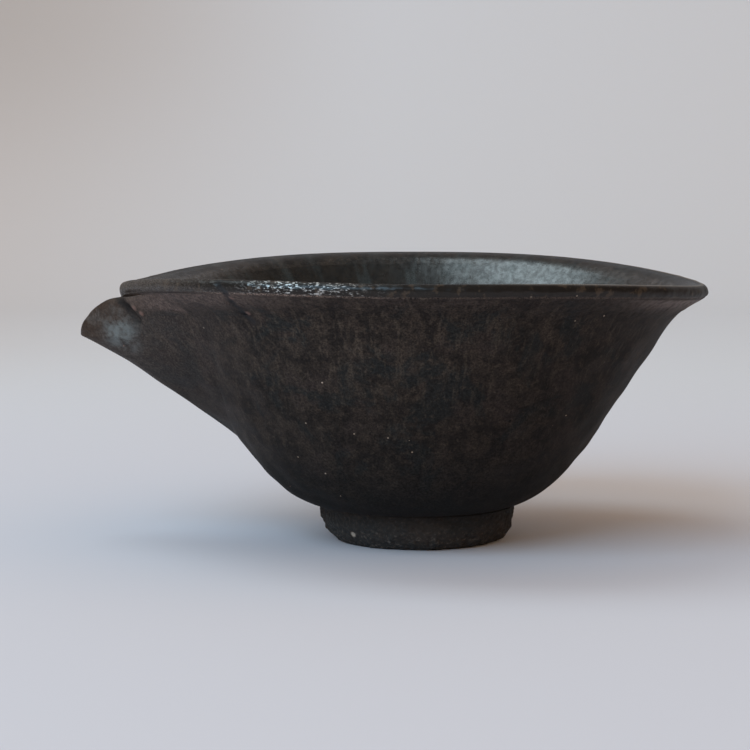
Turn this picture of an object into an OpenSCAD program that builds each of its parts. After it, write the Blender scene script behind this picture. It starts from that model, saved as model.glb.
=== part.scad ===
// Katakuchi sake pourer: an oval stoneware bowl on a foot ring, with a flared lip that runs on
// unbroken over a beak spout. The spout is luted on below the lip, over a cut in the wall.
// Millimetres. The origin is the middle of the foot's underside, +Z is up, the spout points to -X.

/* [Foot] */
// Radius of the foot ring's outside, and of the bowl's base above it
foot_r = 26.5; // [24.5:0.5:32]
// Height of the foot ring
foot_h = 9.4; // [7.4:0.2:14]
// Outer radius of the flat that the foot rests on
rest_r = 23; // [20.5:0.5:25]
// Inner radius of that flat
rest_in = 19; // [16:0.5:20]
// Radius of the recess at the top of the foot ring
recess_r = 18; // [14:0.5:22]
// Height at which the foot's outside starts to turn under
foot_turn_h = 7; // [3:0.2:9]

/* [Bowl] */
// Height of the wall, from the bowl's underside to its top edge under the lip
bowl_h = 50.8; // [40:0.2:62]
// Outer radius of the wall's top edge, along the length of the bowl
neck_r = 69.7; // [64:0.1:76]
// Wall thickness, square to the wall
wall_t = 4.5; // [3:0.1:6]
// Thickness of the floor
floor_t = 6; // [4:0.2:9]
// Radius of the flat part of the floor inside
floor_r = 19; // [12:0.5:24]
// Height above the underside at which the belly becomes the straight wall
belly_h = 18.7; // [15:0.1:24]
// Outer radius at that height, along the length of the bowl
belly_r = 48.6; // [44:0.2:53]
// How far the belly's curve follows the underside
base_reach = 8.6; // [4:0.2:11]
// How far the belly's curve follows the straight wall
wall_reach = 8.9; // [4:0.1:11]
// Angle at which the underside leaves the foot
base_ang = 8; // [0:1:16]

/* [Oval rim] */
// Width of the rim over the lip, across the length
rim_w = 143; // [120:1:158]
// How much the plan narrows towards its two ends, beyond an ellipse
pinch = 0.25; // [0:0.01:0.4]
// How much higher the rim's long sides stand than its ends
rim_rise = 5.2; // [0:0.1:8]
// Extra height of the rim beside the spout, on the front
rim_wave = 1.7; // [0:0.1:3]
// Height above the underside at which the round bowl starts to turn oval
oval_h = 4.2; // [2:0.2:12]

/* [Lip] */
// How far the lip flares out from the wall's top edge to its ledge
flare_out = 9.2; // [5:0.2:13]
// Height of the flare, from the wall's top edge to the ledge
flare_h = 5.6; // [4:0.2:9]
// Length of the bend where the wall turns into the flare
flare_bend = 1.5; // [0.5:0.1:2.5]
// Height of the lip's bead above the ledge
bead_h = 3.4; // [2:0.1:6]
// Width of the bead
bead_w = 8.8; // [7:0.1:10]
// How far the bead stands out past the flare, as a ledge
ledge_w = 1.4; // [0.5:0.1:3]
// How far the bead's crest lies inside the ledge's root
crest_in = 0.8; // [0:0.1:2.4]

/* [Spout] */
// Width of the spout's root at the wall's top edge
spout_w = 32; // [24:0.5:40]
// Width of the spout's mouth at its highest point, beside the lip
mouth_w = 23; // [16:0.5:26]
// Height above the bowl's underside at which the spout's keel leaves the wall
keel_h = 18.9; // [16:0.1:26]
// How far the tip stands out past the lip
tip_reach = 10.6; // [5:0.2:18]
// How far the tip lies below the ledge of the lip
tip_drop = 10.3; // [6:0.1:16]
// How far the highest point of the spout's edge lies below the ledge
edge_drop = 0.8; // [0.5:0.1:3]
// How far the spout's edge lies below the wall's top edge where the two meet
wall_drop = 1.2; // [0.8:0.1:3]
// How far the keel is hollowed above a straight line
keel_hollow = 1.8; // [0:0.1:4]
// How far the spout's sides swell
side_swell = 1.5; // [0:0.1:2.5]
// Wall thickness at the spout's edge
edge_t = 3.4; // [2:0.1:4.5]
// How much fuller the wall stands under the lip beside the spout
root_fill = 2.5; // [0:0.1:4]

/* [Seams] */
// Thickness of the slip that joins the pieces
slip_t = 0.4; // [0.2:0.1:1]

/* [Hidden] */

$fn = 96;
// Columns on each side of the spout's cut, and round the rest of the bowl
cut_n = 12;
ring_n = 72;
// Steps of the wall's outline round the belly and along the straight wall
belly_n = 7;
wall_n = 5;
wall_steps = belly_n + wall_n;
// Steps of the lip's bend, of its bead on each side of the crest, along the spout and round the foot's edge
bend_n = 3;
bead_n = 4;
spout_n = 6;
foot_n = 6;
// Share of the bead's height at which it is widest, measured from the ledge
bead_bulge = 0.3;
// Roundness of the spout's edge, as a share of its thickness
edge_round = 0.35;
// How sharply the spout's cut turns up from the keel, and how quickly its mouth widens from the tip
cut_power = 2.4;
mouth_power = 0.75;
// Share of the spout's edge that lies between its tip and its highest point
crown_u = 0.6;
// Place along the spout of the point that its curve is drawn towards
spout_pull = 0.6;
// How closely the fuller wall stays beside the spout
fill_power = 12;

glaze = [0.18, 0.16, 0.155];
glaze_edge = [0.22, 0.17, 0.14];
bare_clay = [0.15, 0.14, 0.13];
slip_tone = [0.26, 0.21, 0.18];

base_z = foot_h + slip_t;
neck_z = base_z + bowl_h;
seam_z = neck_z + slip_t;
ledge_z = seam_z + flare_h;
ledge_r = neck_r + flare_out;
rim_r = ledge_r + ledge_w;
oval_z = base_z + oval_h;
rim_ratio = rim_w/(2*rim_r);

// The wall's outline, as points of [radius, height]
base_p = [foot_r, base_z];
belly_p = [belly_r, base_z + belly_h];
neck_p = [neck_r, neck_z];
wall_dir = unit(neck_p - belly_p);
wall_span = [wall_t/wall_dir[1], 0];
floor_p = [floor_r, base_z + floor_t];
neck_in_p = neck_p - wall_span;
t_belly = belly_n/wall_steps;
t_keel = t_belly + (1 - t_belly)*(keel_h - belly_h)/(bowl_h - belly_h);

// The angle from the spout's middle line at which its root has half the stated width
cut_deg = asin(spout_w/2/(neck_r*rim_ratio*(1 - pinch)));

function unit(v) = v/norm(v);
function mix(a, b, t) = a + (b - a)*t;
function clamp(x) = min(1, max(0, x));
function ease(x) = let (q = clamp(x)) q*q*(3 - 2*q);
function bend2(a, b, c, t) = mix(mix(a, b, t), mix(b, c, t), t);
function bend3(a, b, c, d, t) = mix(bend2(a, b, c, t), bend2(b, c, d, t), t);

// Outline of one face of the wall: from its start at t = 0, round the belly and straight up to the neck
function outline(start, start_dir, belly, neck, t) =
    t < t_belly
        ? bend3(start, start + base_reach*start_dir, belly - wall_reach*unit(neck - belly), belly, t/t_belly)
        : mix(belly, neck, (t - t_belly)/(1 - t_belly));

function outer(t) = outline(base_p, [cos(base_ang), sin(base_ang)], belly_p, neck_p, t);
function inner(t) = outline(floor_p, [1, 0], belly_p - wall_span, neck_in_p, t);

// The rim stands highest on its long sides, and a little higher beside the spout on the front
function beside_spout(a) = let (k = clamp(((a % 360) - 180)/90)) 27/4*k*(1 - k)*(1 - k);
function rim_lift(a) = rim_rise*(1 - pow(abs(cos(a)), 3)) + rim_wave*beside_spout(a);
function narrowing(a) = 1 - rim_ratio*(1 - pinch*pow(cos(a), 6));

// The wall stands fuller beside the spout, most of all at the neck, and not at the ledge
function fuller(z, a) =
    let (up = ease((z - belly_p[1])/bowl_h*2), down = 1 - ease((z - seam_z)/flare_h))
    root_fill*pow(max(0, -cos(a)), fill_power)*up*down;

// Carries a point [radius, height] of an outline to its place at an angle round the bowl
function place(p, a) =
    let (share = ease((p[1] - oval_z)/(ledge_z - oval_z)), r = p[0] + fuller(p[1], a))
    [r*cos(a), r*sin(a)*(1 - share*narrowing(a)), p[1] + share*rim_lift(a)];

// The spout's cut runs down from the neck in a curve: u is -1 and 1 at the neck, 0 at the keel
function cut_t(u) = mix(t_keel, 1, pow(abs(u), cut_power));
function cut_a(u) = 180 + cut_deg*u;
function root_out(u) = place(outer(cut_t(u)), cut_a(u));
function root_in(u) = place(inner(cut_t(u)), cut_a(u));

cut_us = [for (i = [-cut_n : cut_n]) i/cut_n];
ring_as = [for (i = [0 : ring_n]) 180 + cut_deg + (360 - 2*cut_deg)*i/ring_n];
// Each column of the bowl: its angle and how far up its outline it goes
columns = concat([for (u = cut_us) [cut_a(u), cut_t(u)]], [for (i = [1 : ring_n - 1]) [ring_as[i], 1]]);

// Triangles between neighbouring loops of m points each, clockwise seen from outside. A seam's lean the
// other way, so that it shares its triangles with the pieces on both sides.
function loop_faces(loops, m, ring, closed, lean) =
    [for (i = [0 : loops - (ring ? 1 : 2)], j = [0 : m - (closed ? 1 : 2)], k = [0, 1])
        let (a = i*m + j, b = i*m + (j + 1) % m)
        let (c = ((i + 1) % loops)*m + (j + 1) % m, d = ((i + 1) % loops)*m + j)
        lean ? (k == 0 ? [a, b, d] : [b, c, d]) : (k == 0 ? [a, b, c] : [a, c, d])];

// Triangles that close a loop of m points, laid like rungs between its two sides
function cap_faces(first, m, flip) =
    [for (i = [0 : floor(m/2) - 1], k = [0, 1])
        let (a = first + i, b = first + i + 1, c = first + m - 2 - i, d = first + m - 1 - i)
        if (k == 0 ? b < d : b < c)
            let (f = k == 0 ? [a, b, d] : [b, c, d]) flip ? [f[2], f[1], f[0]] : f];

function join_lists(lists) = [for (l = lists, p = l) p];

// A solid through a row of equal loops, closed into a ring or capped at both ends
module skin(loops, ring, lean = false) {
    n = len(loops);
    m = len(loops[0]);
    caps = ring ? [] : concat(cap_faces(0, m, true), cap_faces((n - 1)*m, m, false));
    polyhedron(join_lists(loops), concat(loop_faces(n, m, ring, true, lean), caps), convexity = 8);
}

// Bowl: a curved wall on a flat base, cut away below the lip where the spout begins
module bowl() {
    m = 2*(wall_steps + 1);
    n = len(columns);
    loops = [for (c = columns)
        concat([for (i = [0 : wall_steps]) place(outer(c[1]*i/wall_steps), c[0])],
               [for (i = [wall_steps : -1 : 0]) place(inner(c[1]*i/wall_steps), c[0])])];
    under = n*m;
    fans = [for (i = [0 : n - 1], k = [0, 1])
        let (next = (i + 1) % n)
        k == 0 ? [under, i*m, next*m] : [under + 1, next*m + m - 1, i*m + m - 1]];
    points = concat(join_lists(loops), [[0, 0, base_z], [0, 0, base_z + floor_t]]);
    color(glaze) polyhedron(points, concat(loop_faces(n, m, true, false, false), fans), convexity = 8);
}

// Lip: a collar that bends out from the wall to a ledge, under a bead with its crest near the outside
function lip_loop(a) =
    let (low_p = [neck_r, seam_z], ledge_p = [ledge_r, ledge_z])
    let (corner = low_p + flare_bend*wall_dir, bend_end = corner + 2*flare_bend*unit(ledge_p - corner))
    let (mid = ledge_p + [-crest_in, bead_bulge*bead_h], tall = (1 - bead_bulge)*bead_h)
    let (low = -asin(bead_bulge/(1 - bead_bulge)))
    concat([for (i = [0 : bend_n]) place(bend2(low_p, corner, bend_end, i/bend_n), a)],
           [place(ledge_p, a)],
           [for (i = [0 : bead_n]) let (v = mix(low, 90, i/bead_n))
               place(mid + [(crest_in + ledge_w)*cos(v), tall*sin(v)], a)],
           [for (i = [1 : bead_n]) let (v = mix(90, 180, i/bead_n))
               place(mid + [(bead_w - ledge_w - crest_in)*cos(v), tall*sin(v)], a)],
           [place(low_p - wall_span, a)]);

module lip() {
    color(glaze_edge) skin([for (c = columns) lip_loop(c[0])], true);
}

// Spout: an open trough from the cut's edge to its mouth. The mouth's edge rises from the wall to a
// crown beside the lip, then comes down in a quarter ellipse to the tip.
function crown(side) = [-rim_r, -side*mouth_w/2, ledge_z - edge_drop];
function mouth_root(side) =
    let (root = root_out(side)) root + edge_t/2*unit([root[0], root[1], 0]) - [0, 0, wall_drop];
function crown_to_tip(top, s) =
    let (out = tip_reach*cos(90*s), down = (tip_drop - edge_drop)*(1 - sin(90*s)))
    [top[0] - out, top[1]*pow(s, mouth_power), top[2] - down];
function crown_to_wall(top, end, s) = bend2(top, [(top[0] + end[0])/2, (top[1] + end[1])/2, top[2]], end, s);
function mouth_edge(u) =
    let (side = u < 0 ? -1 : 1, s = abs(u)/crown_u)
    s < 1 ? crown_to_tip(crown(side), s)
          : crown_to_wall(crown(side), mouth_root(side), (abs(u) - crown_u)/(1 - crown_u));
// The way through the spout's wall to its inside: upwards at the tip, sideways from the crown to the wall
function mouth_normal(u) = unit(mix(unit([tip_drop, 0, 2*tip_reach]), [0, sign(u), 0], ease(abs(u)/crown_u)));
// The way out of the wall along the spout, nowhere downwards
function spout_dir(u) = let (way = mouth_edge(u) - root_out(u)) unit([way[0], way[1], max(0, way[2])]);
function trough(a, b, u, v) =
    let (swell = [0, -2*side_swell*u, 2*keel_hollow]*(1 - u*u))
    bend2(a, mix(a, b, spout_pull) + swell, b, v);

function spout_loop(u) =
    let (dir = spout_dir(u), a = root_out(u) + slip_t*dir, b = mouth_edge(u))
    let (a_in = root_in(u) + slip_t*dir, b_in = b + edge_t*mouth_normal(u))
    concat([for (i = [0 : spout_n]) trough(a, b, u, i/spout_n)],
           [(b + b_in)/2 + edge_round*edge_t*dir],
           [for (i = [spout_n : -1 : 0]) trough(a_in, b_in, u, i/spout_n)]);

module spout() {
    color(glaze) skin([for (u = cut_us) spout_loop(u)], false);
}

// Foot: a turned ring with a rounded outer edge and a flat to rest on
module foot_ring() {
    turn = [for (i = [0 : foot_n])
        [rest_r + (foot_r - rest_r)*cos(90*i/foot_n), foot_turn_h*(1 - sin(90*i/foot_n))]];
    color(bare_clay) rotate_extrude()
        polygon(concat([[recess_r, foot_h], [foot_r, foot_h]], turn, [[rest_in, 0]]));
}

// Seams: the slip that holds the lip, the spout and the foot to the bowl
module lip_slip_seam() {
    up = [0, slip_t];
    color(slip_tone) skin([for (a = ring_as)
        [for (p = [neck_p, neck_p + up, neck_in_p + up, neck_in_p]) place(p, a)]], false, true);
}

module spout_slip_seam() {
    color(slip_tone) skin([for (u = cut_us) let (step = slip_t*spout_dir(u))
        [root_out(u), root_out(u) + step, root_in(u) + step, root_in(u)]], false, true);
}

module foot_slip_seam() {
    color(slip_tone) translate([0, 0, foot_h]) difference() {
        cylinder(r = foot_r, h = slip_t);
        translate([0, 0, -slip_t]) cylinder(r = recess_r, h = 3*slip_t);
    }
}

bowl();
lip();
spout();
foot_ring();
lip_slip_seam();
spout_slip_seam();
foot_slip_seam();
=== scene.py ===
import math
import bpy
import numpy as np
from mathutils import Matrix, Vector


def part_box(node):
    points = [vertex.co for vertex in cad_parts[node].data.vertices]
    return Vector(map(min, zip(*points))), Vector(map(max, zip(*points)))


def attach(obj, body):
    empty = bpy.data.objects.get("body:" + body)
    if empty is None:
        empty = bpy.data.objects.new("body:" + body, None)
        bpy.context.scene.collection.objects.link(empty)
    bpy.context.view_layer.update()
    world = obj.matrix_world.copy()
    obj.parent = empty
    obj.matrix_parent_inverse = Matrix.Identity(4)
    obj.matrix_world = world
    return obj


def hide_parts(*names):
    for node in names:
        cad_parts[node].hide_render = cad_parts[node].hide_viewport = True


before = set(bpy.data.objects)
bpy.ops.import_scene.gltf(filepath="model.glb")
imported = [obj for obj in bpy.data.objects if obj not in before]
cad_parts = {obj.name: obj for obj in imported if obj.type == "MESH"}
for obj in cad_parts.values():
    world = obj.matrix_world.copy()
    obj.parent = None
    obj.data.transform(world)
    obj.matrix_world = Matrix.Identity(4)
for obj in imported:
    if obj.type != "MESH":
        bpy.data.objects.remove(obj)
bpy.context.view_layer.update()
print("frame loaded:", len(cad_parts), "nodes")

mm = 0.001  # the shapes below are worked out in millimetres, the meshes are in metres
sharpFrom = math.radians(50)  # edges that bend more than this show as edges


# small sums used by every surface

def ease(x):  # goes smoothly from 0 to 1
    q = np.clip(x, 0, 1)
    return q*q*(3 - 2*q)


def rise(x, start, over):  # 0 up to the start, then smoothly up to 1 over a stretch
    return ease((x - start)/over)


def mix(a, b, t):  # a at 0, b at 1, straight between
    return a + (b - a)*t


def unit(v):  # the same way, but of length 1
    return v/np.linalg.norm(v, axis=-1, keepdims=True)


def bend2(a, b, c, t):  # quadratic curve from a to c, drawn towards b
    return mix(mix(a, b, t), mix(b, c, t), t)


def bend3(a, b, c, d, t):  # cubic curve from a to d
    return mix(bend2(a, b, c, t), bend2(b, c, d, t), t)


def unevenness(p, size, seed, stretch=(1, 1, 1)):  # sum of plane waves about one size apart, in seeded directions
    waves, rng = 10, np.random.default_rng(seed)
    way = unit(rng.normal(size=(waves, 3)))*rng.uniform(0.7, 1.4, (waves, 1))*2*np.pi/size/np.array(stretch)
    phase = rng.uniform(0, 2*np.pi, waves)
    return np.cos(p @ way.T + phase).sum(-1)/math.sqrt(waves/2)


def hump(p, middle, size):  # 1 at the middle, falling away in a bell over the size
    return np.exp(-(((p - np.array(middle))/size)**2).sum(-1))


def groove(p, start, end, size):  # 1 on the line from start to end, falling away in a bell over the size
    start, way = np.array(start), np.array(end) - np.array(start)
    along = np.clip((p - start) @ way/(way @ way), 0, 1)[..., None]
    return np.exp(-(((p - start - along*way)/size)**2).sum(-1))


# A mesh through a grid of points: columns run round the piece, rows along its outline. A pole closes all columns
# to one point at the first or last row. Marks are numbers for each point that the finishes read.
def skin(name, grid, ringCols=True, ringRows=True, firstPole=None, lastPole=None, marks=None):
    cols, rows = grid.shape[:2]
    points = grid.reshape(-1, 3)
    c = np.arange(cols if ringCols else cols - 1)[:, None]
    r = np.arange(rows if ringRows else rows - 1)[None, :]
    a, b = c*rows + r, c*rows + (r + 1) % rows
    d, e = (c + 1) % cols*rows + r, (c + 1) % cols*rows + (r + 1) % rows
    quads = np.stack([a, b, e, d], -1).reshape(-1, 4)
    fans, ends = [], []
    for pole, row, flip in ((firstPole, 0, False), (lastPole, rows - 1, True)):
        if pole is not None:
            ring = np.arange(cols)*rows + row
            fan = np.stack([np.full(cols, len(points)), ring, np.roll(ring, -1)], -1)
            fans.append(fan[:, ::-1] if flip else fan)
            points = np.vstack([points, pole])
            ends.append((0, row))
    if not ringCols:  # both ends are closed by a fan round their own middle
        for col, flip in ((0, True), (cols - 1, False)):
            ring = col*rows + np.arange(rows)
            fan = np.stack([np.full(rows, len(points)), ring, np.roll(ring, -1)], -1)
            fans.append(fan[:, ::-1] if flip else fan)
            points = np.vstack([points, points[ring].mean(0)])
            ends.append((col, 0))
    tris = np.vstack(fans) if fans else np.zeros((0, 3), int)
    corner = np.vstack([quads[:, [0, 1, 2]], quads[:, [0, 2, 3]], tris])
    p0, p1, p2 = (points[corner[:, k]] for k in range(3))
    if (np.cross(p0, p1)*p2).sum() < 0:  # faces look outwards
        quads, tris = quads[:, ::-1], tris[:, ::-1]
    mesh = bpy.data.meshes.new(name)
    mesh.vertices.add(len(points))
    mesh.vertices.foreach_set("co", (points*mm).astype(np.float32).ravel())
    loops = np.concatenate([quads.ravel(), tris.ravel()])
    sizes = np.concatenate([np.full(len(quads), 4), np.full(len(tris), 3)])
    mesh.loops.add(len(loops))
    mesh.loops.foreach_set("vertex_index", loops.astype(np.int32))
    mesh.polygons.add(len(sizes))
    mesh.polygons.foreach_set("loop_start", np.concatenate([[0], np.cumsum(sizes)[:-1]]).astype(np.int32))
    mesh.polygons.foreach_set("loop_total", sizes.astype(np.int32))
    mesh.update(calc_edges=True)
    mesh.polygons.foreach_set("use_smooth", np.ones(len(sizes), bool))
    mesh.set_sharp_from_angle(angle=sharpFrom)
    for mark, values in (marks or {}).items():
        values = np.broadcast_to(values, (cols, rows))
        flat = np.concatenate([values.ravel(), [values[end] for end in ends]]).astype(np.float32)
        mesh.attributes.new(mark, "FLOAT", "POINT").data.foreach_set("value", flat)
    piece = bpy.data.objects.new(name, mesh)
    bpy.context.scene.collection.objects.link(piece)
    return piece


def fit(piece, slot, paint, *nodes):  # gives a piece its finish and ties it to the solids that it stands for
    piece.data.materials.append(paint)
    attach(piece, "root")
    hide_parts(*nodes)
    print(piece.name, "done:", len(piece.data.polygons), "faces")


# shader sums: a socket that can be added, multiplied and so on, each sum adding its Math node

class Value:
    def __init__(self, paint, socket):
        self.paint, self.socket = paint, socket

    def sum(self, kind, *others):
        return self.paint.node("ShaderNodeMath", {"operation": kind}, dict(enumerate((self, *others))))

    def __add__(self, other):
        return self.sum("ADD", other)

    def __sub__(self, other):
        return self.sum("SUBTRACT", other)

    def __rsub__(self, other):
        return self.paint.node("ShaderNodeMath", {"operation": "SUBTRACT"}, {0: other, 1: self})

    def __mul__(self, other):
        return self.sum("MULTIPLY", other)

    def __truediv__(self, other):
        return self.sum("DIVIDE", other)

    def __pow__(self, other):
        return self.sum("POWER", other)

    __radd__, __rmul__ = __add__, __mul__

    def span(self, low, high):  # 0 below low, 1 above high, smooth between
        return self.paint.node("ShaderNodeMapRange", {"interpolation_type": "SMOOTHSTEP"},
                               {"Value": self, "From Min": low, "From Max": high})


# a finish and its nodes
class Paint:
    def __init__(self, name, kind="materials"):
        self.owner = getattr(bpy.data, kind).new(name)
        self.owner.use_nodes = True
        self.tree = self.owner.node_tree

    def node(self, kind, settings=None, sockets=None, out=0):
        n = self.tree.nodes.new(kind)
        for key, value in (settings or {}).items():
            setattr(n, key, value)
        for key, value in (sockets or {}).items():
            self.feed(n.inputs[key], value)
        return Value(self, n.outputs[out])

    def feed(self, socket, value):
        if isinstance(value, Value):
            self.tree.links.new(value.socket, socket)
        elif socket.type == "RGBA" and len(value) == 3:
            socket.default_value = (*value, 1)
        else:
            socket.default_value = value

    def place(self):  # where the point lies on the piece, in millimetres
        at = self.node("ShaderNodeTexCoord", out=3)
        return self.node("ShaderNodeVectorMath", {"operation": "SCALE"}, {0: at, "Scale": 1/mm})

    def split(self, vector):
        n = self.node("ShaderNodeSeparateXYZ", None, {0: vector}).socket.node
        return [Value(self, s) for s in n.outputs]

    def join(self, x, y, z):
        return self.node("ShaderNodeCombineXYZ", None, {0: x, 1: y, 2: z})

    def noise(self, at, scale, detail=2.0, rough=0.55, warp=0.0):
        return self.node("ShaderNodeTexNoise", None, {"Vector": at, "Scale": scale, "Detail": detail,
                                                      "Roughness": rough, "Distortion": warp})

    def blend(self, share, a, b, kind="MIX"):
        return self.node("ShaderNodeMix", {"data_type": "RGBA", "blend_type": kind},
                         {0: share, 6: a, 7: b}, out=2)

    def mark(self, name):
        return self.node("ShaderNodeAttribute", {"attribute_name": name}, out=2)

    def vector(self, kind, a, b, out=0):
        return self.node("ShaderNodeVectorMath", {"operation": kind}, {0: a, 1: b}, out)

    def near(self, at, point, low, high):  # 1 within low of a point, 0 beyond high
        return 1 - self.vector("DISTANCE", at, point, 1).span(low, high)

    def line(self, at, start, end, low, high):  # 1 within low of the line from start to end, 0 beyond high
        way = np.array(end) - np.array(start)
        offset = self.vector("SUBTRACT", at, start)
        along = self.vector("DOT_PRODUCT", offset, tuple(way/(way @ way)), 1)
        along = self.node("ShaderNodeClamp", None, {"Value": along})
        step = self.node("ShaderNodeVectorMath", {"operation": "SCALE"}, {0: tuple(way), "Scale": along})
        return 1 - self.vector("DISTANCE", offset, step, 1).span(low, high)

    # small round spots in a share of scattered cells, and a number for each cell
    def specks(self, at, scale, radius, share):
        cell = self.node("ShaderNodeTexVoronoi", {"feature": "F1"}, {"Vector": at, "Scale": scale, "Randomness": 1.0})
        pick = self.split(Value(self, cell.socket.node.outputs["Color"]))
        size = (0.5 + pick[1]*0.8)*radius*scale
        spot = 1 - (cell/size).span(0.5, 1.0)
        return spot*pick[0].span(1 - share, 1 - share + 0.001), pick[2]

    def bump(self, height, depth, strength=1.0):
        return self.node("ShaderNodeBump", None, {"Strength": strength, "Distance": depth*mm, "Height": height})

    def finish(self, shader="Principled BSDF", **sockets):
        for name, value in sockets.items():
            self.feed(self.tree.nodes[shader].inputs[name.replace("_", " ")], value)
        return self.owner


def tone(r, g, b):  # a colour as seen on screen, 0 to 255, turned to the linear one
    return tuple(c/255/12.92 if c < 10 else ((c/255 + 0.055)/1.055)**2.4 for c in (r, g, b))


# camera: long lens, low, the pot's axis a little right of the middle
cameraView = {"back": 720, "high": 118.8, "lens": 126.6, "down": 5.86, "turn": 0.882, "sensor": 36, "clip": 50}


def setCamera(v):
    lens = bpy.data.cameras.new("camera")
    lens.sensor_width, lens.lens, lens.clip_end = v["sensor"], v["lens"], v["clip"]
    eye = bpy.data.objects.new("camera", lens)
    eye.location = (0, -v["back"]*mm, v["high"]*mm)
    eye.rotation_euler = (math.radians(90 - v["down"]), 0, math.radians(v["turn"]))
    bpy.context.scene.collection.objects.link(eye)
    bpy.context.scene.camera = eye


setCamera(cameraView)
print("camera set")


# the oval pot's shared form: a round outline that turns oval towards the rim, with higher long sides
footBox, slipBox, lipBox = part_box("foot_ring"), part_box("foot_slip_seam"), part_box("lip")
pot = {
    "footR": footBox[1].x/mm, "footHigh": footBox[1].z/mm, "slip": (slipBox[1].z - slipBox[0].z)/mm,
    "bowlHigh": 50.8, "neckR": 69.7, "wall": 4.5, "flareOut": 9.2, "flareHigh": 5.6, "ledge": 1.4,
    "pinch": 0.25, "pinchPower": 6, "rimRise": 4.7, "risePower": 3, "rimWave": 1.7, "nearDrop": 0.35, "ovalFrom": 4.2,
    "rootFill": 2.5, "fillPower": 12, "bellyHigh": 18.7, "bellyR": 48.6, "topBend": 0.5, "topFrom": 0.945,
    "seamLean": 0.895,
}
pot["baseZ"] = pot["footHigh"] + pot["slip"]
pot["neckZ"] = pot["baseZ"] + pot["bowlHigh"]
pot["seamZ"] = pot["neckZ"] + pot["slip"]
pot["ledgeZ"] = pot["seamZ"] + pot["flareHigh"]
pot["ledgeR"] = pot["neckR"] + pot["flareOut"]
pot["rimR"] = pot["ledgeR"] + pot["ledge"]
pot["ratio"] = (lipBox[1].y - lipBox[0].y)/mm/2/pot["rimR"]
pot["bellyZ"] = pot["baseZ"] + pot["bellyHigh"]
wallDir = unit(np.array([pot["neckR"] - pot["bellyR"], pot["neckZ"] - pot["bellyZ"]]))
wallSpan = np.array([pot["wall"]/wallDir[1], 0])
neckOut = np.array([pot["neckR"], pot["neckZ"]])
neckIn = neckOut - wallSpan
neckTop = neckOut + [pot["topBend"], 0]
lipFoot = neckTop + pot["slip"]*np.array([pot["seamLean"], 1])


# carries outline points [radius, height] to the angle a: the width shrinks and the height lifts with the share of
# the oval that is reached at that height, and the wall stands fuller beside the spout. The rim rises towards both long
# sides, with one wave between the spout and the near side.
def place(p, a, out=0.0):
    r, z = p[..., 0], p[..., 1]
    share = rise(z, pot["baseZ"] + pot["ovalFrom"], pot["ledgeZ"] - pot["baseZ"] - pot["ovalFrom"])
    fuller = rise(z, pot["bellyZ"], pot["bowlHigh"]/2)*(1 - rise(z, pot["seamZ"], pot["flareHigh"]))
    r = r + out + pot["rootFill"]*np.maximum(0, -np.cos(a))**pot["fillPower"]*fuller
    narrow = 1 - pot["ratio"]*(1 - pot["pinch"]*np.cos(a)**pot["pinchPower"])
    k = np.clip(((a % (2*np.pi)) - np.pi)/(np.pi/2), 0, 1)
    wave = 27/4*k*(1 - k)**2  # 1 at its highest
    lift = pot["rimRise"]*(1 - np.abs(np.cos(a))**pot["risePower"]) + pot["rimWave"]*wave
    lift = lift - pot["nearDrop"]*np.maximum(0, -np.sin(a))
    return np.stack([r*np.cos(a), r*np.sin(a)*(1 - share*narrow), z + share*lift], -1)


# marks left by hand and fire, as places on the pot: a crease where the spout was pressed on below the lip, a dark run
# of glaze, lumps, specks, a pit and a scratch
handMarks = {
    "crease": ((-80.0, -14.4, 67.2), (-77.1, -16.7, 64.5), (-74.5, -17.3, 61.2)),
    "run": ((-50.0, -54.9, 73.6), (-48.2, -55.5, 71.4), (-46.7, -51.8, 68.6), (-44.0, -49.2, 65.8),
            (-41.2, -49.0, 63.5)),
    "lumps": ((-75.1, -18.9, 64.7), (-73.2, -19.7, 63.2), (-46.7, -54.1, 70.0), (-42.7, -50.2, 65.9)),
    "specks": ((-56.9, -42.1, 68.3), (-55.4, -32.8, 60.6), (40.6, -50.8, 64.0), (-0.8, -47.9, 29.9),
               (-28.3, -43.2, 36.8), (-7.0, -49.2, 33.7), (-15.7, -47.8, 34.6), (-30.7, -35.2, 26.9),
               (28.7, -65.8, 71.2), (40.4, -60.6, 71.1)),
    "pit": ((24.4, -45.6, 37.7),),
    "scratch": ((49.2, -34.8, 53.0), (51.1, -36.4, 57.4), (53.2, -29.5, 52.0)),
}
lumpSize = 1.1


def grooves(p, path, size):  # a groove through all the points of a path
    return np.max([groove(p, start, end, size) for start, end in zip(path, path[1:])], axis=0)


# bowl: a thrown wall and floor with a cut for the spout. The second group of values is its unevenness, in height and
# size, and where that fades out
bowlForm = {
    "floor": 6, "floorR": 19, "baseReach": 8.6, "wallReach": 8.9, "baseAngle": 8, "keelHigh": 18.9, "spoutWide": 32,
    "cutPower": 2.4, "cutCols": 36, "ringCols": 320, "outRows": 120, "inRows": 70, "flatRows": 10, "poleShare": 0.06,
    "slow": 0.22, "slowSize": 60, "ripple": 0.07, "ripplePitch": 5.2, "rippleSize": 40, "dents": 0.12, "dentSize": 11,
    "facets": 0.16, "facetSize": 13, "facetStretch": (1, 1, 0.6), "facetRise": 3, "facetEnd": (4, 14),
    "outBase": 4, "outTop": (0.9, 0.1), "inShare": 0.4, "inDents": 0.03, "inSize": 6, "inBase": (2, 6),
    "inTop": (0.93, 0.07),
}
tBelly = 7/12  # share of the outline that the belly takes


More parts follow.
